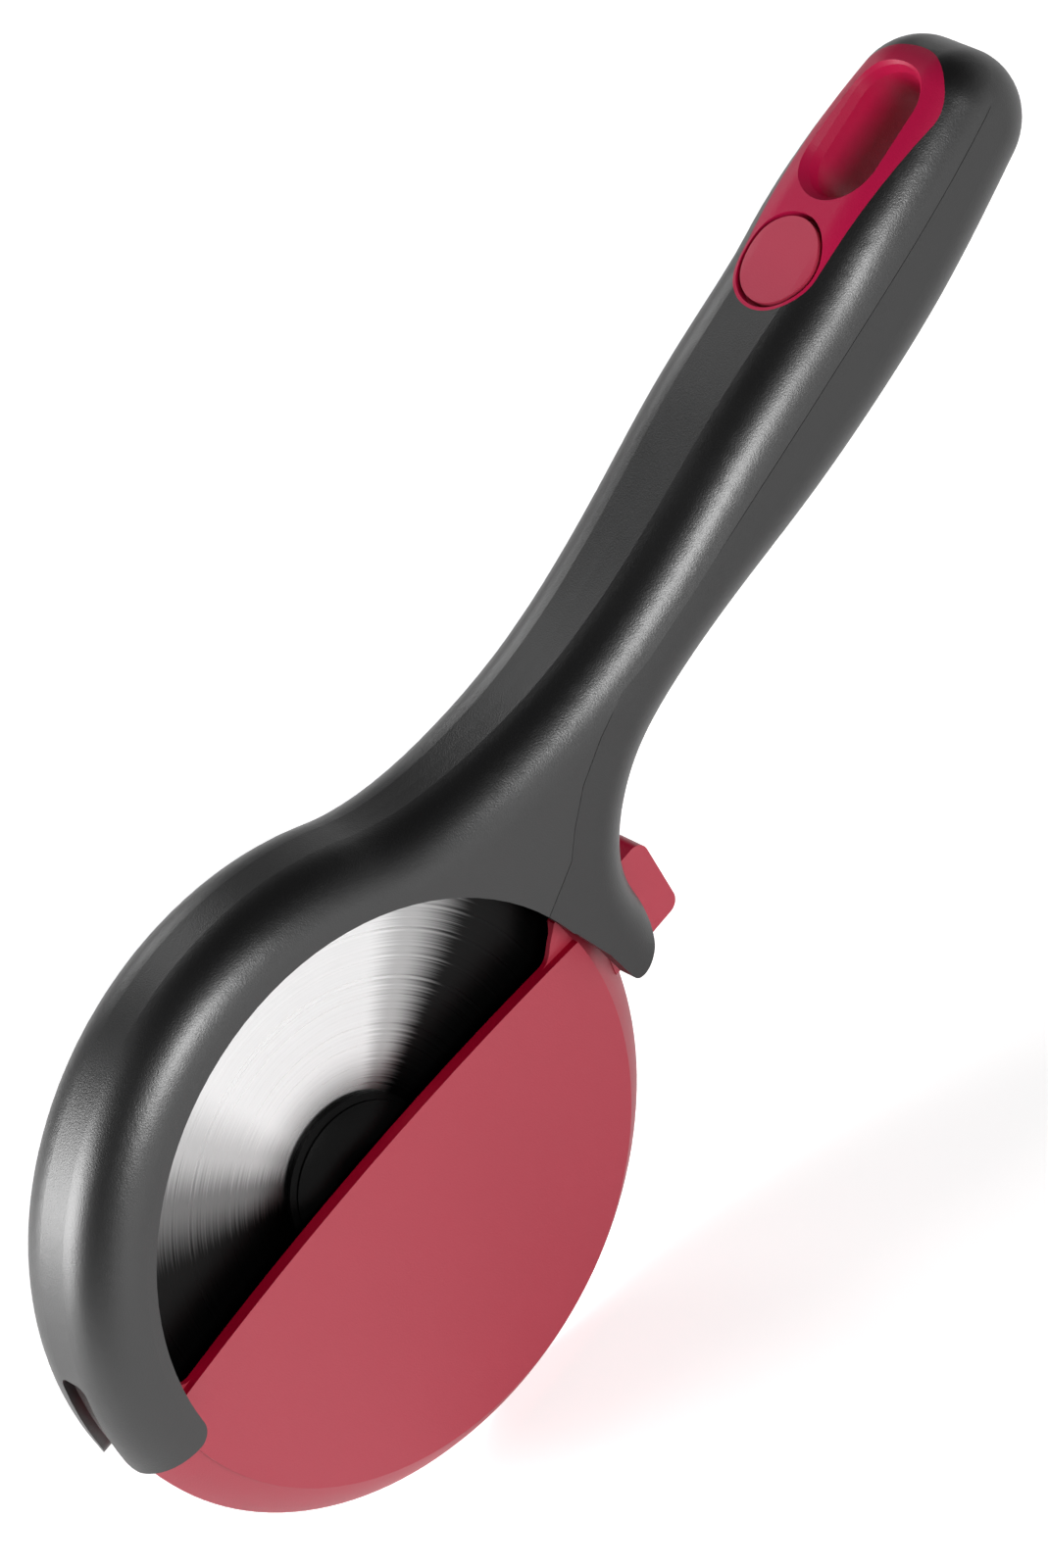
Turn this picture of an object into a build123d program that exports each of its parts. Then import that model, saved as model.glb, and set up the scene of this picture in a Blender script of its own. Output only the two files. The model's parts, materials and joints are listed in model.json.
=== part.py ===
"""Pizza cutter: hooded handle, disc blade on a hub and a blade guard that swings half a turn."""
import os

from build123d import *

os.makedirs("parts", exist_ok=True)

# Blade and wheel
blade_radius = 45.0
blade_thickness = 0.8
edge_half_thickness = 0.05
bevel_width = 2.6
spigot_radius = 6.0
clamp_tube_radius = 4.0
hub_radius = 11.8
hub_rim_level = 1.15
hub_shoulder_level = 1.8
hub_ring_width = 0.9
hub_ring_level = 1.45
hub_dome_level = 3.0
hub_dome_slope = 0.45
hub_recess_radius = 5.3
hub_recess_level = 1.9

# Blade guard, a ring around the blade closed by two plates
wheel_gap = 0.35
guard_overhang = 3.6
guard_bevel_width = 5.6
guard_shoulder_in = 2.55
guard_rim_flat = 0.5
guard_shoulder_level = 3.05
guard_face_level = 6.2
guard_shelf_drop = 1.2
guard_plate = 2.0
guard_wall = 1.7
guard_rim_radius = blade_radius + guard_overhang
guard_face_radius = guard_rim_radius - guard_bevel_width
guard_shoulder_radius = guard_rim_radius - guard_shoulder_in
guard_shelf_level = guard_face_level - guard_shelf_drop
chord_rise = 4.25
chord_sag = 2.27
chord_overrun = 1.0
chord_half_length = guard_face_radius + chord_overrun
flare_rise = 6.5
flare_foot_in = 6.2
flare_foot_rise = 2.66
flare_knee_in = 3.1
flare_knee_rise = 4.5
flare_top_in = 0.8
flare_foot = guard_face_radius - flare_foot_in
flare_knee = guard_face_radius - flare_knee_in
flare_top = guard_face_radius - flare_top_in

# Hood around the guard
guard_clearance = 0.6
hood_wall = 1.4
hood_side_wall = 1.8
hood_half_width = 10.6
lip_cover = 3.4
lip_shift_x = 0.8
lip_shift_z = 0.2
lip_corner_round = 2.6
hood_end = -2.2
hood_end_lip = -1.5
flare_angle = 58.0
channel_round = 7.2
channel_radius = guard_rim_radius + guard_clearance
channel_half_width = hood_half_width - hood_side_wall
crown_radius = channel_radius + hood_wall
lip_radius = blade_radius - lip_cover

# Handle, from the crown to its end
handle_length = 116.5
grip_half_width = 13.0
mid_half_width = 12.3
end_half_width = 9.0
edge_round = 8.0
end_round_share = 0.0858
end_rise_share = 0.3930
end_start_angle = 98.0
end_sweep = 175.0
blank_floor = -25.0
handle_reach = crown_radius + handle_length
end_round = end_round_share * handle_length
end_centre_x = handle_reach - end_round
end_centre_z = end_rise_share * handle_length
top_line_shares = [
    (-0.0032, 0.3114),
    (0.1030, 0.3093),
    (0.2106, 0.3229),
    (0.3470, 0.3559),
    (0.4805, 0.3918),
    (0.6197, 0.4195),
]
under_line_shares = [
    (0.7503, 0.2610),
    (0.6168, 0.2325),
    (0.4776, 0.2110),
    (0.3369, 0.1966),
    (0.2092, 0.1751),
    (0.1346, 0.1493),
    (0.0786, 0.1076),
    (0.0441, 0.0603),
]
plan_start_share = 0.396
plan_end_slope = 0.24
plan_line_shares = [
    (0.663, grip_half_width),
    (0.852, mid_half_width),
    (1.0416, end_half_width),
]
neck_round_share = 0.47
width_round_share = 0.92
neck_depth = (top_line_shares[2][1] - under_line_shares[4][1]) * handle_length
long_edge_round = min(edge_round, neck_round_share * neck_depth, width_round_share * end_half_width)

# Beak behind the window, in shares of the crown's radius
beak_thickness = 3.6
beak_back = crown_radius + beak_thickness
beak_outline_shares = [
    (0.7837, 0.2136),
    (0.8283, 0.1528),
    (0.8679, 0.0091),
    (0.8827, -0.1030),
]
beak_tip_shares = [
    (0.9240, -0.1290),
    (0.9760, -0.1150),
    (1.0290, -0.0680),
]

# Line where the upper shell meets the underside cover
parting_groove = 0.1
parting_depth = 0.12
parting_shares = [
    (-0.1051, 0.1062),
    (-0.0276, 0.1464),
    (-0.0009, 0.1760),
    (0.0385, 0.2111),
    (0.0901, 0.2404),
    (0.1425, 0.2609),
    (0.1906, 0.2644),
    (0.2790, 0.2816),
    (0.4216, 0.3133),
    (0.5802, 0.3467),
    (0.8421, 0.4004),
    (1.0287, 0.4392),
]

# Handle hollow
hollow_half_width = 8.0
hollow_round = 4.0
hollow_top_shares = [(0.1030, 0.2813), (0.2106, 0.2956), (0.3470, 0.3258), (0.5551, 0.3760)]
hollow_under_shares = [(0.5551, 0.2469), (0.3470, 0.2181), (0.2106, 0.2024), (0.1676, 0.1909)]

# Thumb tab, keyed between the guard's halves
tab_width = 4.7
tab_key_depth = 1.6
tab_reach = 6.1
tab_reach_low = 5.1
tab_top = 2.2
tab_low = -10.8
tab_round = 2.0
tab_root_radius = guard_rim_radius - tab_key_depth
tab_crest = beak_back + tab_reach
tab_crest_low = beak_back + tab_reach_low

# Notch in the hood's front end and slot in the beak, both for the tab
tab_clearance = 0.3
slot_half_width = tab_width / 2 + tab_clearance
notch_top = 13.8
notch_round = 1.5
notch_mouth_round = 2.0
tab_slot_rise = 1.6
tab_slot_top = tab_top + tab_slot_rise

# Support arm on the back, its boss and the axle with its clip
arm_gap = 0.3
arm_half_width = 7.0
arm_root_half_width = 10.0
arm_lap = 1.4
arm_boss_radius = 9.0
arm_level = -guard_face_level - arm_gap
arm_reach = lip_radius + arm_lap
axle_radius = 2.0
running_gap = 0.05
boss_floor = 1.5
bearing_wall = 1.4
bearing_floor = 0.7
axle_end_gap = 0.3
clip_ring = 1.4
clip_groove_depth = 0.5
clip_thickness = 0.5
clip_mouth = 2.4
hub_bore = axle_radius + running_gap
guard_boss_radius = axle_radius + bearing_wall
guard_boss_level = hub_dome_level + wheel_gap
guard_bore_level = guard_face_level - bearing_floor
axle_front_level = guard_bore_level - axle_end_gap
axle_back_level = boss_floor - grip_half_width
clip_groove_radius = axle_radius - clip_groove_depth
clip_outer_radius = axle_radius + clip_ring
clip_front_level = -hub_dome_level - wheel_gap

# Hanging insert and badge, placed from the handle's end
insert_from_end = 27.7
insert_rise_share = 0.4086
insert_tilt = 11.0
insert_low = -20.4
insert_high = 22.6
insert_high_radius = 9.5
slot_low = -1.6
slot_end_wall = 4.0
slot_radius = 5.6
sleeve_wall = 1.6
slot_lip_start = 2.8
slot_lip_start_taper = 20.0
slot_lip_top = 3.6
slot_lip_top_taper = 42.0
badge_radius = 7.2
badge_wall = 0.5
badge_groove = 0.7
badge_floor = 1.9
badge_base = 0.5
insert_x = handle_reach - insert_from_end
insert_z = insert_rise_share * handle_length
insert_low_radius = badge_radius + badge_wall
badge_at = insert_low + insert_low_radius
slot_high = insert_high - slot_end_wall

# Planes: the wheel's mid-plane lies one grip half-width in front of the rest face
rest_level = grip_half_width
side = Plane(origin=(0, -rest_level, 0), x_dir=(1, 0, 0), z_dir=(0, -1, 0))
section = Plane(origin=(0, -rest_level, 0), x_dir=(1, 0, 0), z_dir=(0, 0, 1))
across = Plane(origin=(0, -rest_level, 0), x_dir=(0, 1, 0), z_dir=(1, 0, 0))
far = 2 * handle_reach


def reached(shares):
    """Outline points from shares of the handle's length, counted from the crown."""
    return [(crown_radius + along * handle_length, up * handle_length) for along, up in shares]


def crowned(shares):
    """Outline points from shares of the crown's radius."""
    return [(along * crown_radius, up * crown_radius) for along, up in shares]


def plan_outline(inset):
    """Handle outline seen from above, drawn inward of the true one by the inset."""
    with BuildSketch(section) as outline:
        with BuildLine():
            hood = [-crown_radius - edge_round, plan_start_share * crown_radius]
            stations = [(x, hood_half_width - inset) for x in hood]
            for along, half in plan_line_shares:
                stations.append((crown_radius + along * handle_length, half - inset))
            plan = Spline(stations, tangents=[(1, 0), (1, -plan_end_slope)])
            Polyline(plan @ 1, ((plan @ 1).X, 0))
            Polyline(plan @ 0, ((plan @ 0).X, 0))
            mirror(about=Plane.XZ)
        make_face()
    return outline.sketch


# Body blank: side outline crossed with the plan outline, long edges rounded
with BuildPart() as blank:
    with BuildSketch(side):
        with BuildLine():
            crown = CenterArc((0, 0), crown_radius, 180, flare_angle - 180)
            tip = CenterArc((end_centre_x, end_centre_z), end_round, end_start_angle, -end_sweep)
            Spline([crown @ 1] + reached(top_line_shares) + [tip @ 0], tangents=[crown % 1, tip % 0])
            low = Spline(
                [tip @ 1] + reached(under_line_shares) + [(beak_back, 0)],
                tangents=[tip % 1, (0, -1)],
            )
            Polyline(low @ 1, (beak_back, blank_floor), (-crown_radius, blank_floor), crown @ 0)
        make_face()
    extrude(amount=2 * grip_half_width, both=True)
    extrude(plan_outline(0), amount=far, both=True, mode=Mode.INTERSECT)
    long_edges = [
        edge
        for edge in blank.edges()
        if abs((edge @ 0.5).Y + rest_level) > edge_round / 2
        and abs((edge @ 0).Y - (edge @ 1).Y) < edge_round / 2
        and (edge @ 0.5).Z > blank_floor + blade_thickness
    ]
    fillet(long_edges, long_edge_round)


# Support arm and its boss behind the wheel
with BuildPart() as arm:
    with BuildSketch(side.offset(arm_level)):
        with BuildLine():
            Polyline(
                (-arm_half_width, 0),
                (-arm_root_half_width, arm_reach),
                (arm_root_half_width, arm_reach),
                (arm_half_width, 0),
                (-arm_half_width, 0),
            )
        make_face()
        Circle(arm_boss_radius)
    extrude(amount=-(hood_half_width + arm_level))
    with BuildSketch(side.offset(-hood_half_width)):
        Circle(arm_boss_radius)
    extrude(amount=-(rest_level - hood_half_width))

# Hood channel and window
with BuildPart() as channel:
    with BuildSketch(section) as channel_sketch:
        with Locations((channel_radius / 2, 0)):
            Rectangle(channel_radius, 2 * channel_half_width)
        outer = channel_sketch.vertices().filter_by(lambda v: v.X > channel_radius / 2)
        fillet(outer, channel_round)
    revolve(axis=Axis.Y)

# Window inside the hood's lip, and everything below the hood's end and around the beak
with BuildPart() as below:
    with BuildSketch(side) as opening:
        with BuildLine():
            beak = crowned(beak_outline_shares)
            beak_end = crowned(beak_tip_shares)
            Polyline(beak[0], beak[1], beak[2], beak[3])
            Spline([beak[3]] + beak_end, tangents=[(0.1, -1), (0.55, 0.65)])
            Polyline(
                beak_end[2],
                (beak_back, 0),
                (beak_back + edge_round, 0),
                (beak_back + edge_round, 2 * blank_floor),
                (-2 * lip_radius, 2 * blank_floor),
                (-2 * lip_radius, hood_end),
                (-crown_radius, hood_end),
                (lip_corner_round - lip_radius, hood_end_lip),
                (0, hood_end_lip),
                (lip_radius / 2, beak[0][1]),
                beak[0],
            )
        make_face()
        with Locations((lip_shift_x, lip_shift_z)):
            Circle(lip_radius)
        lip_corner = opening.vertices().filter_by(
            lambda v: v.X < -lip_radius / 2 and abs(v.Z - hood_end_lip) < lip_corner_round
        )
        fillet(lip_corner, lip_corner_round)
    extrude(amount=2 * grip_half_width, both=True)

# Notch in the hood's front end and slot in the beak
with BuildPart() as slots:
    with BuildSketch(across.offset(-crown_radius - edge_round)) as notch:
        with Locations((0, (notch_top + blank_floor) / 2)):
            RectangleRounded(2 * slot_half_width, notch_top - blank_floor, notch_round)
        with Locations((0, hood_end + notch_mouth_round / 2)):
            Rectangle(2 * (slot_half_width + notch_mouth_round), notch_mouth_round)
        with Locations(
            (slot_half_width + notch_mouth_round, hood_end + notch_mouth_round),
            (-slot_half_width - notch_mouth_round, hood_end + notch_mouth_round),
        ):
            Circle(notch_mouth_round, mode=Mode.SUBTRACT)
    extrude(amount=crown_radius / 2)
    with BuildSketch(across.offset(lip_radius)):
        with Locations((0, (tab_slot_top + blank_floor) / 2)):
            RectangleRounded(2 * slot_half_width, tab_slot_top - blank_floor, notch_round)
    extrude(amount=crown_radius / 2)

# Hanging insert: its outline, sleeve and slot as tools along the insert's own plane
deck = Plane(
    origin=(insert_x, -rest_level, insert_z),
    x_dir=(1, 0, 0),
    z_dir=(0, 0, 1),
).rotated((0, -insert_tilt, 0))
slot_length = slot_high - slot_low
slot_middle = (slot_high + slot_low) / 2


with BuildPart() as insert_tool:
    with BuildSketch(deck):
        with BuildLine():
            Line(
                (insert_low + insert_low_radius, insert_low_radius),
                (insert_high - insert_high_radius, insert_high_radius),
            )
            CenterArc((insert_high - insert_high_radius, 0), insert_high_radius, 90, -180)
            Line(
                (insert_high - insert_high_radius, -insert_high_radius),
                (insert_low + insert_low_radius, -insert_low_radius),
            )
            CenterArc((insert_low + insert_low_radius, 0), insert_low_radius, -90, -180)
        make_face()
    extrude(amount=handle_reach / 4)
    with BuildSketch(deck):
        with Locations((slot_middle, 0)):
            SlotOverall(slot_length + 2 * sleeve_wall, 2 * (slot_radius + sleeve_wall))
    extrude(amount=-handle_reach / 4)

with BuildPart() as hole_tool:
    with BuildSketch(deck):
        with Locations((slot_middle, 0)):
            SlotOverall(slot_length, 2 * slot_radius)
    extrude(amount=handle_reach / 4, both=True)

# Two flared cuts that round the slot's upper lip
with BuildPart() as lip_tool:
    with BuildSketch(deck.offset(slot_lip_start)):
        with Locations((slot_middle, 0)):
            SlotOverall(slot_length, 2 * slot_radius)
    extrude(amount=slot_radius, taper=-slot_lip_start_taper)
    with BuildSketch(deck.offset(slot_lip_top)):
        with Locations((slot_middle, 0)):
            SlotOverall(slot_length, 2 * slot_radius)
    extrude(amount=slot_radius, taper=-slot_lip_top_taper)

# Handle hollow shared by shell and cover
with BuildPart() as hollow:
    with BuildSketch(side):
        with BuildLine():
            Polyline(*reached(hollow_top_shares), *reached(hollow_under_shares), close=True)
        make_face()
    extrude(amount=hollow_half_width, both=True)
    lengthwise = hollow.edges().filter_by(lambda e: abs((e @ 0.5).Y + rest_level) > hollow_round)
    fillet(lengthwise, hollow_round)

# Region under the parting line, and the fine groove along it
with BuildPart() as under:
    with BuildSketch(side):
        with BuildLine():
            line = Polyline(*reached(parting_shares))
            Polyline(line @ 1, (far, blank_floor), (lip_radius / 2, blank_floor))
            Polyline((lip_radius / 2, blank_floor), (lip_radius / 2, (line @ 0).Y), line @ 0)
        make_face()
    extrude(amount=2 * grip_half_width, both=True)


with BuildPart() as groove:
    with BuildSketch(side):
        with BuildLine():
            over = [(x, z + parting_groove / 2) for x, z in reached(parting_shares)]
            beneath = [(x, z - parting_groove / 2) for x, z in reached(parting_shares)]
            Polyline(*over, *reversed(beneath), close=True)
        make_face()
    extrude(amount=2 * grip_half_width, both=True)
    extrude(plan_outline(parting_depth), amount=far, both=True, mode=Mode.SUBTRACT)

# Whole body before it is parted
with BuildPart() as carcass:
    add(blank.part)
    add(channel.part, mode=Mode.SUBTRACT)
    add(below.part, mode=Mode.SUBTRACT)
    add(slots.part, mode=Mode.SUBTRACT)
    add(insert_tool.part, mode=Mode.SUBTRACT)
    add(hollow.part, mode=Mode.SUBTRACT)
    add(groove.part, mode=Mode.SUBTRACT)

# Upper shell with the hood, the arm and its boss
with BuildPart() as body_shell:
    add(carcass.part)
    add(under.part, mode=Mode.SUBTRACT)
    add(arm.part)
    with BuildSketch(side.offset(axle_back_level)):
        Circle(axle_radius)
    extrude(amount=-axle_back_level, mode=Mode.SUBTRACT)
body_shell.part.label = "body_shell"
export_step(body_shell.part, "parts/body_shell.step")

# Underside cover with the beak
with BuildPart() as underside_cover:
    add(carcass.part)
    add(under.part, mode=Mode.INTERSECT)
underside_cover.part.label = "underside_cover"
export_step(underside_cover.part, "parts/underside_cover.step")

# Hanging insert with the slot's sleeve, flush with the handle
with BuildPart() as hang_insert:
    add(blank.part)
    add(insert_tool.part, mode=Mode.INTERSECT)
    add(hole_tool.part, mode=Mode.SUBTRACT)
    add(lip_tool.part, mode=Mode.SUBTRACT)
    with BuildSketch(deck.offset(badge_floor)):
        with Locations((badge_at, 0)):
            Circle(badge_radius)
    extrude(amount=end_round, mode=Mode.SUBTRACT)
hang_insert.part.label = "hang_insert"
export_step(hang_insert.part, "parts/hang_insert.step")

# Bare badge disc with a ring groove
with BuildPart() as badge_disc:
    with BuildSketch(deck.offset(badge_floor)):
        with Locations((badge_at, 0)):
            Circle(badge_radius - badge_groove)
    extrude(amount=end_round)
    add(blank.part, mode=Mode.INTERSECT)
    with BuildSketch(deck.offset(badge_floor)):
        with Locations((badge_at, 0)):
            Circle(badge_radius)
    extrude(amount=badge_base)
badge_disc.part.label = "badge_disc"
export_step(badge_disc.part, "parts/badge_disc.step")

# Axle pin with the clip's groove
with BuildPart() as axle_pin:
    with BuildSketch(side.offset(axle_back_level)):
        Circle(axle_radius)
    extrude(amount=axle_front_level - axle_back_level)
    with BuildSketch(side.offset(clip_front_level)):
        Circle(axle_radius)
        Circle(clip_groove_radius, mode=Mode.SUBTRACT)
    extrude(amount=-clip_thickness, mode=Mode.SUBTRACT)
axle_pin.part.label = "axle_pin"
export_step(axle_pin.part, "parts/axle_pin.step")

# Retaining clip
with BuildPart() as axle_clip:
    with BuildSketch(side.offset(clip_front_level)):
        Circle(clip_outer_radius)
        Circle(clip_groove_radius, mode=Mode.SUBTRACT)
        with Locations((0, -clip_outer_radius)):
            Rectangle(clip_mouth, 2 * clip_outer_radius, mode=Mode.SUBTRACT)
    extrude(amount=-clip_thickness)
axle_clip.part.label = "axle_clip"
export_step(axle_clip.part, "parts/axle_clip.step")

# Blade with a ground edge
with BuildPart() as blade:
    with BuildSketch(section):
        half_blade = blade_thickness / 2
        Polygon(
            (spigot_radius, -half_blade),
            (blade_radius - bevel_width, -half_blade),
            (blade_radius, -edge_half_thickness),
            (blade_radius, edge_half_thickness),
            (blade_radius - bevel_width, half_blade),
            (spigot_radius, half_blade),
            align=None,
        )
    revolve(axis=Axis.Y)
blade.part.label = "blade"
export_step(blade.part, "parts/blade.step")


def hub_section(facing):
    """Half section of a hub flange; facing is -1 to the front and 1 to the back."""
    with BuildSketch(section) as outline:
        with BuildLine():
            Polyline(
                (hub_recess_radius, facing * hub_dome_level),
                (hub_recess_radius, facing * hub_recess_level),
                (hub_bore, facing * hub_recess_level),
                (hub_bore, facing * blade_thickness / 2),
                (hub_radius, facing * blade_thickness / 2),
                (hub_radius, facing * hub_rim_level),
                (hub_radius - hub_ring_width, facing * hub_ring_level),
                (hub_radius - hub_ring_width, facing * hub_shoulder_level),
            )
            Spline(
                (hub_radius - hub_ring_width, facing * hub_shoulder_level),
                (hub_recess_radius, facing * hub_dome_level),
                tangents=[(-1, facing * hub_dome_slope), (-1, 0)],
            )
        make_face()
    return outline.sketch


# Hub halves clamping the blade
with BuildPart() as hub_front:
    revolve(hub_section(-1), axis=Axis.Y)
    with BuildSketch(side.offset(blade_thickness / 2)):
        Circle(spigot_radius)
        Circle(hub_bore, mode=Mode.SUBTRACT)
    extrude(amount=-blade_thickness)
    with BuildSketch(side.offset(-blade_thickness / 2)):
        Circle(clamp_tube_radius)
        Circle(hub_bore, mode=Mode.SUBTRACT)
    extrude(amount=blade_thickness / 2 - hub_recess_level)
hub_front.part.label = "hub_front"
export_step(hub_front.part, "parts/hub_front.step")

with BuildPart() as hub_back:
    revolve(hub_section(1), axis=Axis.Y)
    with BuildSketch(side.offset(-blade_thickness / 2)):
        Circle(clamp_tube_radius)
    extrude(amount=-2 * hub_dome_level, mode=Mode.SUBTRACT)
hub_back.part.label = "hub_back"
export_step(hub_back.part, "parts/hub_back.step")

# Thumb tab, keyed between the guard's halves
with BuildPart() as thumb_tab:
    with BuildSketch(side):
        with BuildLine():
            Polyline(
                (tab_root_radius, tab_top),
                (tab_crest, tab_top),
                (tab_crest_low, tab_low),
                (tab_root_radius - tab_round, tab_low),
                (tab_root_radius, tab_top),
            )
        make_face()
        Circle(tab_root_radius, mode=Mode.SUBTRACT)
    extrude(amount=tab_width / 2, both=True)
    corners = thumb_tab.edges().filter_by(Axis.Y).sort_by(Axis.X)[-2:]
    fillet(corners, tab_round)
thumb_tab.part.label = "thumb_tab"
export_step(thumb_tab.part, "parts/thumb_tab.step")


def guard_section(facing):
    """Section of half the guard, all the way round; facing is -1 to the front and 1 to the back."""
    plate_inside = guard_face_level - guard_plate
    with BuildSketch(section) as outline:
        with BuildLine():
            Polyline(
                (guard_rim_radius, facing * guard_rim_flat),
                (guard_rim_radius, 0),
                (guard_rim_radius - guard_wall, 0),
                (guard_rim_radius - guard_wall, facing * guard_wall),
                (guard_face_radius - guard_wall, facing * plate_inside),
                (0, facing * plate_inside),
                (0, facing * guard_face_level),
                (guard_face_radius, facing * guard_face_level),
                (guard_face_radius, facing * guard_shelf_level),
            )
            ThreePointArc(
                (guard_rim_radius, facing * guard_rim_flat),
                (guard_shoulder_radius, facing * guard_shoulder_level),
                (guard_face_radius, facing * guard_shelf_level),
            )
        make_face()
    return outline.sketch


# What the chord and the flared ends take off the full ring
beyond = 2 * guard_rim_radius
with BuildPart() as above_chord:
    with BuildSketch(side):
        with BuildLine():
            chord = ThreePointArc(
                (-chord_half_length, chord_rise - chord_sag),
                (0, chord_rise),
                (chord_half_length, chord_rise - chord_sag),
            )
            Polyline(
                chord @ 1,
                (beyond, chord_rise - chord_sag),
                (beyond, beyond),
                (-beyond, beyond),
                (-beyond, chord_rise - chord_sag),
                chord @ 0,
            )
        make_face()
    extrude(amount=beyond, both=True)
    with BuildSketch(side):
        Rectangle(2 * beyond, 2 * beyond)
    extrude(amount=guard_shelf_level, both=True, mode=Mode.SUBTRACT)

with BuildPart() as above_flare:
    with BuildSketch(side):
        with BuildLine():
            middle = ThreePointArc((-flare_foot, flare_foot_rise), (0, chord_rise), (flare_foot, flare_foot_rise))
            rear = Spline(
                middle @ 1,
                (flare_knee, flare_knee_rise),
                (flare_top, flare_rise),
                tangents=[middle % 1, (1, 1)],
            )
            front = mirror(rear, about=Plane.YZ)
            Polyline(rear @ 1, (beyond, flare_rise), (beyond, beyond))
            Polyline((beyond, beyond), (-beyond, beyond), (-beyond, flare_rise), (-flare_top, flare_rise))
        make_face()
    extrude(amount=beyond, both=True)

# Front half of the guard with the blind bearing for the axle's end
with BuildPart() as guard_front:
    revolve(guard_section(-1), axis=Axis.Y)
    with BuildSketch(side.offset(guard_boss_level)):
        Circle(guard_boss_radius)
    extrude(amount=guard_face_level - guard_plate - guard_boss_level)
    with BuildSketch(side.offset(guard_boss_level)):
        Circle(hub_bore)
    extrude(amount=guard_bore_level - guard_boss_level, mode=Mode.SUBTRACT)
    add(above_chord.part, mode=Mode.SUBTRACT)
    add(above_flare.part, mode=Mode.SUBTRACT)
    add(thumb_tab.part, mode=Mode.SUBTRACT)
guard_front.part.label = "guard_front"
export_step(guard_front.part, "parts/guard_front.step")

# Back half of the guard, turning on the axle
with BuildPart() as guard_back:
    revolve(guard_section(1), axis=Axis.Y)
    with BuildSketch(side):
        Circle(hub_bore)
    extrude(amount=-beyond, mode=Mode.SUBTRACT)
    add(above_chord.part, mode=Mode.SUBTRACT)
    add(above_flare.part, mode=Mode.SUBTRACT)
    add(thumb_tab.part, mode=Mode.SUBTRACT)
guard_back.part.label = "guard_back"
export_step(guard_back.part, "parts/guard_back.step")
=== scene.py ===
"""Looks of the pizza cutter: materials on the moulded body, guard, blade and hub, with a plain studio."""

import json
from math import pi

import bpy
from mathutils import Matrix, Vector

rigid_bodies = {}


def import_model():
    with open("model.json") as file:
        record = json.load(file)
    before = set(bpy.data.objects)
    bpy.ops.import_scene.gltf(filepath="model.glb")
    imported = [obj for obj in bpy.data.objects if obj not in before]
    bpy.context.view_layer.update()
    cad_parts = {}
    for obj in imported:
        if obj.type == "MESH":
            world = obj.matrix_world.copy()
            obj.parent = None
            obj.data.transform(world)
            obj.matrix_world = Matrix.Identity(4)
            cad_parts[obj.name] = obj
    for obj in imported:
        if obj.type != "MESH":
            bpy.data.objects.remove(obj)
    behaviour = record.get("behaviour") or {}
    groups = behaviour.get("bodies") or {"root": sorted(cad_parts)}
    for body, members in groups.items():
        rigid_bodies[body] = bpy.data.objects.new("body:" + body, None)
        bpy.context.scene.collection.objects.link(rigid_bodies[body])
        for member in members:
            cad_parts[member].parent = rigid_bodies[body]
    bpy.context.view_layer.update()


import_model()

scene = bpy.context.scene
scene.view_settings.view_transform = "Standard"

WHITE = (1, 1, 1, 1)
# The blade's plane, in metres; the wheel turns about the Y axis
WHEEL_Y = -0.013


def feed(tree, node, inputs):
    """Feed a node's inputs, by name or number, each from a socket or with a plain value."""
    for name, source in inputs.items():
        if isinstance(source, bpy.types.NodeSocket):
            tree.links.new(source, node.inputs[name])
        else:
            node.inputs[name].default_value = source


def add_node(tree, kind, inputs=None, **settings):
    """New node with its settings and its inputs."""
    node = tree.nodes.new(kind)
    for name, value in settings.items():
        setattr(node, name, value)
    feed(tree, node, inputs or {})
    return node


def remapped(tree, source, low, high, start=0.0, end=1.0, **settings):
    """Value that goes from low to high as the source goes from start to end."""
    inputs = {"Value": source, "From Min": start, "From Max": end, "To Min": low, "To Max": high}
    return add_node(tree, "ShaderNodeMapRange", inputs, **settings).outputs["Result"]


def worked_out(tree, operation, *terms):
    """Result of one math operation on sockets and plain numbers."""
    return add_node(tree, "ShaderNodeMath", dict(enumerate(terms)), operation=operation).outputs["Value"]


def length_of(tree, vector):
    """Length of a vector."""
    return add_node(tree, "ShaderNodeVectorMath", {0: vector}, operation="LENGTH").outputs["Value"]


def mixed(tree, factor, first, second):
    """Colour between two others."""
    inputs = {"Factor": factor, "A": first, "B": second}
    return add_node(tree, "ShaderNodeMix", inputs, data_type="RGBA").outputs["Result"]


# Depth of the fine relief at full strength, in metres
RELIEF_DEPTH = 0.0001


def relief(tree, height, strength):
    """Surface normal that makes a pattern stand out a little."""
    inputs = {"Height": height, "Strength": strength, "Distance": RELIEF_DEPTH}
    return add_node(tree, "ShaderNodeBump", inputs).outputs["Normal"]


def new_material(name):
    """New material with its tree and its principled shader."""
    material = bpy.data.materials.new(name)
    material.use_nodes = True
    tree = material.node_tree
    return material, tree, tree.nodes["Principled BSDF"]


# Moulded plastic; upward is the Z of a face's normal in the piece's own frame, over which the painted shade
# of upward faces comes in, with its own sheen
GRAIN_SCALE = 4200.0
GRAIN_DETAIL = 2.0
GRAIN_STRENGTH = 0.3
CLOUD_SCALE = 38.0
CLOUD_DETAIL = 3.0
GLOSS_SPREAD = 0.04
UPWARD_START = 0.75
UPWARD_END = 0.95
UPWARD_SHEEN = 0.1


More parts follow.
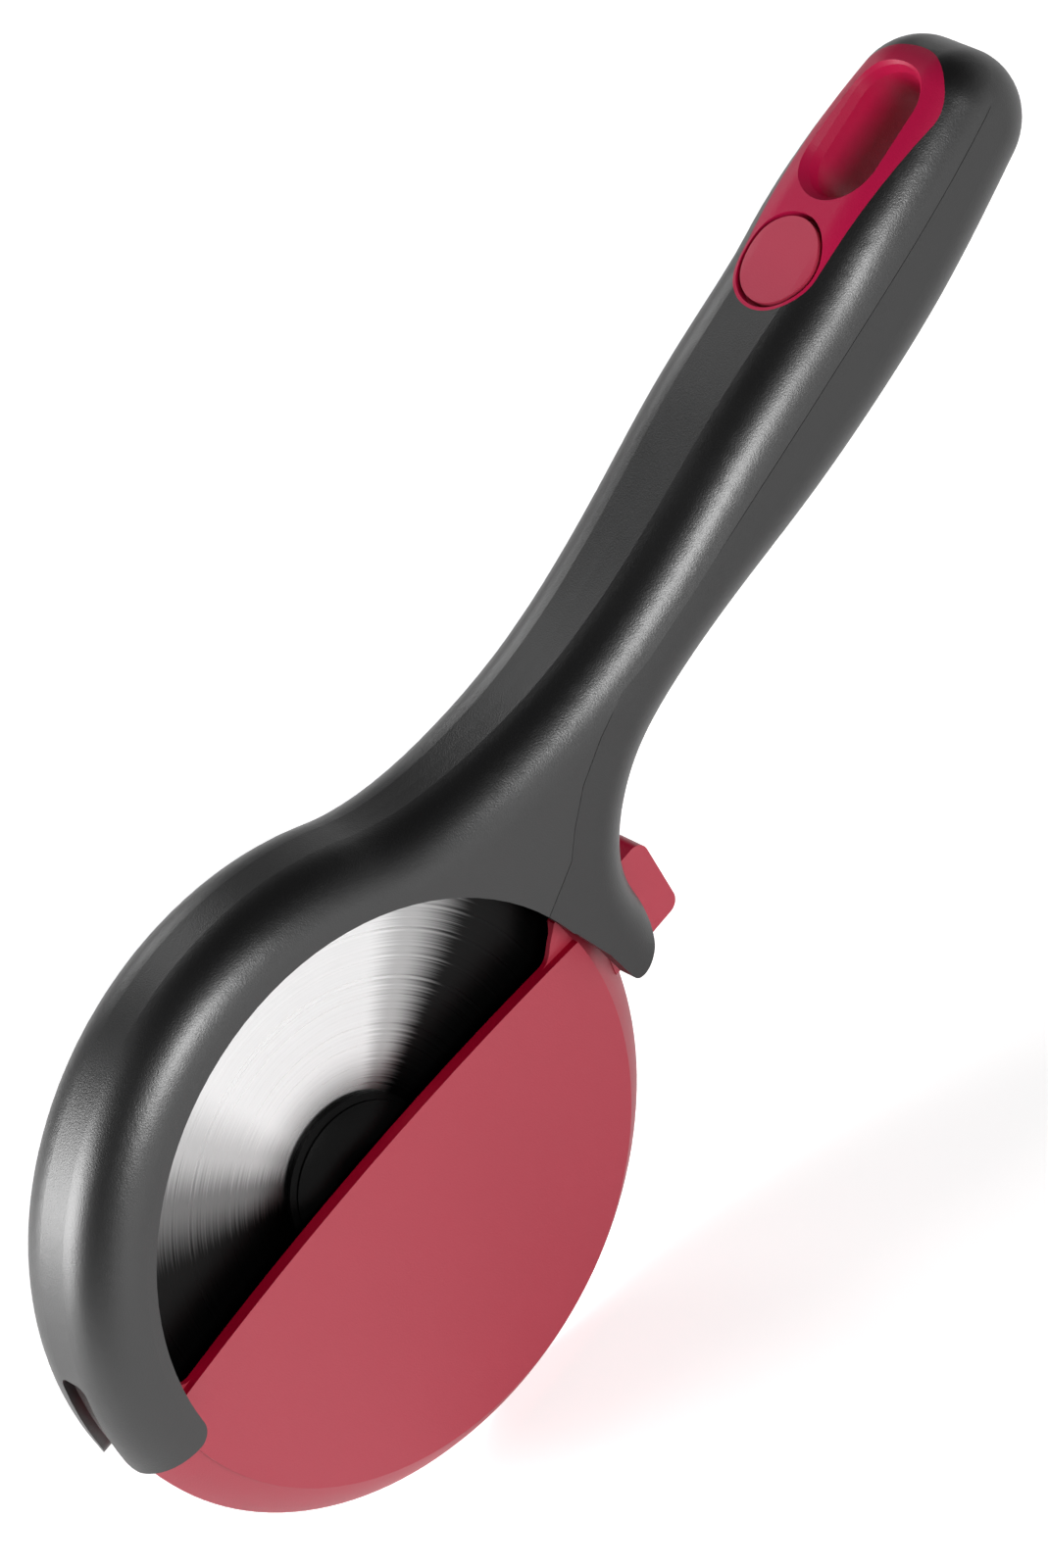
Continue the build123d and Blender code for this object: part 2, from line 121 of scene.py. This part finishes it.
def moulded(name, dark, pale, rough, sheen, painted_shade=None):
    """Moulded plastic: a fine spark-eroded grain, faint cloudiness and slightly uneven gloss; where given,
    a painted shade on upward faces.
    """
    material, tree, shader = new_material(name)
    place = add_node(tree, "ShaderNodeTexCoord")
    point = place.outputs["Object"]
    grain_inputs = {"Vector": point, "Scale": GRAIN_SCALE, "Detail": GRAIN_DETAIL}
    grain = add_node(tree, "ShaderNodeTexNoise", grain_inputs).outputs["Fac"]
    cloud_inputs = {"Vector": point, "Scale": CLOUD_SCALE, "Detail": CLOUD_DETAIL}
    cloud = add_node(tree, "ShaderNodeTexNoise", cloud_inputs).outputs["Fac"]
    colour = mixed(tree, cloud, (*dark, 1), (*pale, 1))
    specular = sheen
    if painted_shade:
        # Painted shade: faces that look along the piece's own Z axis get a deeper colour without the pale
        # sheen
        facing = add_node(tree, "ShaderNodeSeparateXYZ", {"Vector": place.outputs["Normal"]})
        painted_shade_mask = remapped(tree, facing.outputs["Z"], 0.0, 1.0, UPWARD_START, UPWARD_END)
        colour = mixed(tree, painted_shade_mask, colour, (*painted_shade, 1))
        specular = remapped(tree, painted_shade_mask, sheen, UPWARD_SHEEN)
    feed(tree, shader, {
        "Base Color": colour,
        "Roughness": remapped(tree, cloud, rough - GLOSS_SPREAD, rough + GLOSS_SPREAD),
        "Specular IOR Level": specular,
        "Normal": relief(tree, grain, GRAIN_STRENGTH),
    })
    return material


# Turned steel; the painted reflection fans fade out towards the hub between two radii, in metres
RING_SCALE = 2600.0
RING_DETAIL = 5.0
RING_STRENGTH = 0.04
RING_WAVER = 0.10
RING_DARK = 0.90
RING_PALE = 1.06
RING_SMOOTH = 0.24
RING_ROUGH = 0.34
FADE_START = 0.009
FADE_END = 0.019
FADE_LEVEL = 0.12
STEEL_ANISOTROPY = 0.7


def level_ramp(tree, share, levels):
    """Grey level along a share, from pairs of place and level; the first place is 0 and the last is 1."""
    ramp = add_node(tree, "ShaderNodeValToRGB", {"Fac": share})
    ramp.color_ramp.interpolation = "EASE"
    stops = ramp.color_ramp.elements
    # A new ramp already has its stops at 0 and 1
    for place, level in levels[1:-1]:
        stops.new(place)
    for stop, (place, level) in zip(stops, levels):
        stop.color = (level, level, level, 1)
    return ramp.outputs["Color"]


def turned_steel(name, levels):
    """Turned steel: fine rings about the axle, with painted reflection fans in its colour, pale and dark by
    the angle about the axle.
    """
    material, tree, shader = new_material(name)
    place = add_node(tree, "ShaderNodeTexCoord")
    apart = add_node(tree, "ShaderNodeSeparateXYZ", {"Vector": place.outputs["Object"]})
    across = add_node(tree, "ShaderNodeCombineXYZ", {"X": apart.outputs["X"], "Y": apart.outputs["Z"]})
    radius = length_of(tree, across.outputs["Vector"])
    ring_inputs = {"W": radius, "Scale": RING_SCALE, "Detail": RING_DETAIL}
    rings = add_node(tree, "ShaderNodeTexNoise", ring_inputs, noise_dimensions="1D").outputs["Fac"]
    # Angle about the axle, pushed a little to and fro from ring to ring
    angle = worked_out(tree, "ARCTAN2", apart.outputs["Z"], apart.outputs["X"])
    turned = worked_out(tree, "ADD", angle, remapped(tree, rings, -RING_WAVER, RING_WAVER))
    # The same painted reflection fans on both halves of the disc
    half_turn = worked_out(tree, "WRAP", turned, pi, 0.0)
    painted_fans = level_ramp(tree, worked_out(tree, "DIVIDE", half_turn, pi), levels)
    # The painted reflection fans turn duller towards the hub, and the rings vary them a little
    streak = remapped(tree, rings, RING_DARK, RING_PALE)
    fade_in = remapped(tree, radius, FADE_LEVEL, 1.0, FADE_START, FADE_END, interpolation_type="SMOOTHSTEP")
    painted_reflection_inputs = {0: painted_fans, "Scale": worked_out(tree, "MULTIPLY", streak, fade_in)}
    painted_reflection = add_node(tree, "ShaderNodeVectorMath", painted_reflection_inputs, operation="SCALE")
    around = add_node(tree, "ShaderNodeTangent", direction_type="RADIAL", axis="Y")
    feed(tree, shader, {
        "Base Color": painted_reflection.outputs["Vector"],
        "Metallic": 1.0,
        "Roughness": remapped(tree, rings, RING_SMOOTH, RING_ROUGH),
        "Anisotropic": STEEL_ANISOTROPY,
        "Tangent": around.outputs["Tangent"],
        "Normal": relief(tree, rings, RING_STRENGTH),
    })
    return material


# Plastics by the name of their slot; the third colour, where given, is a painted shade on faces that look
# along the piece's own Z axis
PLASTICS = {
    "body_black": {
        "dark": (0.0020, 0.0020, 0.0022),
        "pale": (0.0040, 0.0040, 0.0042),
        "rough": 0.38,
        "sheen": 1.0,
    },
    "cover_black": {
        "dark": (0.0026, 0.0026, 0.0028),
        "pale": (0.0048, 0.0048, 0.0050),
        "rough": 0.40,
        "sheen": 0.9,
    },
    "guard_red": {
        "dark": (0.36, 0.010, 0.032),
        "pale": (0.40, 0.016, 0.042),
        "painted_shade": (0.34, 0.0, 0.018),
        "rough": 0.5,
        "sheen": 1.0,
    },
    "tab_red": {
        "dark": (0.40, 0.010, 0.036),
        "pale": (0.44, 0.016, 0.046),
        "painted_shade": (0.40, 0.0, 0.030),
        "rough": 0.44,
        "sheen": 1.0,
    },
    "insert_red": {
        "dark": (0.42, 0.004, 0.050),
        "pale": (0.46, 0.006, 0.056),
        "rough": 0.44,
        "sheen": 0.3,
    },
    "badge_red": {
        "dark": (0.42, 0.030, 0.068),
        "pale": (0.46, 0.036, 0.076),
        "rough": 0.5,
        "sheen": 0.5,
    },
    "hub_black": {
        "dark": (0.0008, 0.0008, 0.0008),
        "pale": (0.0015, 0.0015, 0.0015),
        "rough": 0.34,
        "sheen": 0.08,
    },
}

# Steels by the name of their slot: share of half a turn about the axle, and the grey level of the painted
# reflection fans there
STEELS = {
    "blade_steel": (
        (0.0, 0.012),
        (0.13, 0.016),
        (0.22, 0.55),
        (0.28, 0.97),
        (0.58, 0.94),
        (0.68, 0.58),
        (0.76, 0.20),
        (0.86, 0.014),
        (1.0, 0.012),
    ),
    "axle_steel": ((0.0, 0.5), (1.0, 0.6)),
}


def dress(pieces, looks):
    """Give each material slot of the pieces the look of the same name."""
    for piece in pieces:
        for slot in piece.material_slots:
            slot_name = slot.material.name.split(".")[0]
            if slot_name in looks:
                slot.material = looks[slot_name]


plastics = {name: moulded(name, **values) for name, values in PLASTICS.items()}
steels = {name: turned_steel(name, levels) for name, levels in STEELS.items()}
dress(bpy.data.objects, plastics | steels)

# Floor, in metres; its glow is weaker near the cutter, so that a shadow shows there
FLOOR_Z = -0.0487
FLOOR_SIDE = 12
FLOOR_COLOUR = (0.92, 0.92, 0.92, 1)
FLOOR_ROUGHNESS = 0.9
FLOOR_NEAR = 0.5
FLOOR_FAR = 1.5
FLOOR_NEAR_GLOW = 0.5
FLOOR_FAR_GLOW = 1.0
FLOOR_MIRRORED = 0.5


def floor_white():
    """White floor with a glow that the camera sees and reflections show more weakly."""
    material, tree, shader = new_material("floor_white")
    geometry = add_node(tree, "ShaderNodeNewGeometry")
    reach = length_of(tree, geometry.outputs["Position"])
    glow = remapped(tree, reach, FLOOR_NEAR_GLOW, FLOOR_FAR_GLOW, FLOOR_NEAR, FLOOR_FAR)
    rays = add_node(tree, "ShaderNodeLightPath")
    mirrored = worked_out(tree, "MULTIPLY", rays.outputs["Is Glossy Ray"], FLOOR_MIRRORED)
    seen = worked_out(tree, "MAXIMUM", rays.outputs["Is Camera Ray"], mirrored)
    feed(tree, shader, {
        "Base Color": FLOOR_COLOUR,
        "Roughness": FLOOR_ROUGHNESS,
        "Specular IOR Level": 0.0,
        "Emission Color": WHITE,
        "Emission Strength": worked_out(tree, "MULTIPLY", seen, glow),
    })
    return material


bpy.ops.mesh.primitive_plane_add(size=FLOOR_SIDE, location=(0, 0, FLOOR_Z))
floor = bpy.context.object
floor.name = "floor"
floor.data.materials.append(floor_white())

# World; its light weakens from the horizon up to 30 degrees, whose sine is 0.5
SKY_SEEN = 1.0
SKY_HORIZON = 0.5
SKY_OVERHEAD = 0.03
SKY_FADE_END = 0.5


def studio_world():
    """World that is white to the camera, and lights the object more from around than from above."""
    world = bpy.data.worlds.new("studio")
    world.use_nodes = True
    tree = world.node_tree
    direction = add_node(tree, "ShaderNodeTexCoord")
    apart = add_node(tree, "ShaderNodeSeparateXYZ", {"Vector": direction.outputs["Generated"]})
    light = remapped(tree, apart.outputs["Z"], SKY_HORIZON, SKY_OVERHEAD, 0.0, SKY_FADE_END)
    rays = add_node(tree, "ShaderNodeLightPath")
    strength_inputs = {"Factor": rays.outputs["Is Camera Ray"], "A": light, "B": SKY_SEEN}
    strength = add_node(tree, "ShaderNodeMix", strength_inputs).outputs["Result"]
    feed(tree, tree.nodes["Background"], {"Color": WHITE, "Strength": strength})
    return world


scene.world = studio_world()

# Point near the cutter's middle that the lamps are aimed at
LAMP_TARGET = Vector((0.05, WHEEL_Y, 0.01))


def softbox(name, spot, side, watts):
    """Square area lamp at a spot, aimed at the lamps' target."""
    lamp = bpy.data.lights.new(name, "AREA")
    lamp.shape = "SQUARE"
    lamp.size = side
    lamp.energy = watts
    holder = bpy.data.objects.new(name, lamp)
    scene.collection.objects.link(holder)
    holder.location = spot
    holder.rotation_euler = (LAMP_TARGET - Vector(spot)).to_track_quat("-Z", "Y").to_euler()


softbox("key", spot=(-0.06, -1.2, 0.6), side=0.45, watts=12.5)
softbox("rim", spot=(-0.84, 0.58, 0.44), side=0.65, watts=14)
softbox("back", spot=(0.3, 1.4, 0.75), side=0.5, watts=3)

# Camera at the photograph's angle: its axes, its place in metres, and its lens and sensor in millimetres
SHOT_RIGHT = Vector((0.6341, -0.6227, -0.4583))
SHOT_UP = Vector((0.7342, 0.2989, 0.6095))
SHOT_BACKWARD = Vector((-0.2426, -0.7231, 0.6467))
SHOT_PLACE = (-0.3050, -1.0651 + WHEEL_Y, 0.9754)
SHOT_LENS = 251.4
SENSOR_HEIGHT = 36.0

lens = bpy.data.cameras.new("shot")
lens.sensor_fit = "VERTICAL"
lens.sensor_height = SENSOR_HEIGHT
lens.lens = SHOT_LENS
shot = bpy.data.objects.new("shot", lens)
scene.collection.objects.link(shot)
turn = Matrix((SHOT_RIGHT, SHOT_UP, SHOT_BACKWARD)).transposed().to_4x4()
shot.matrix_world = Matrix.Translation(SHOT_PLACE) @ turn
scene.camera = shot
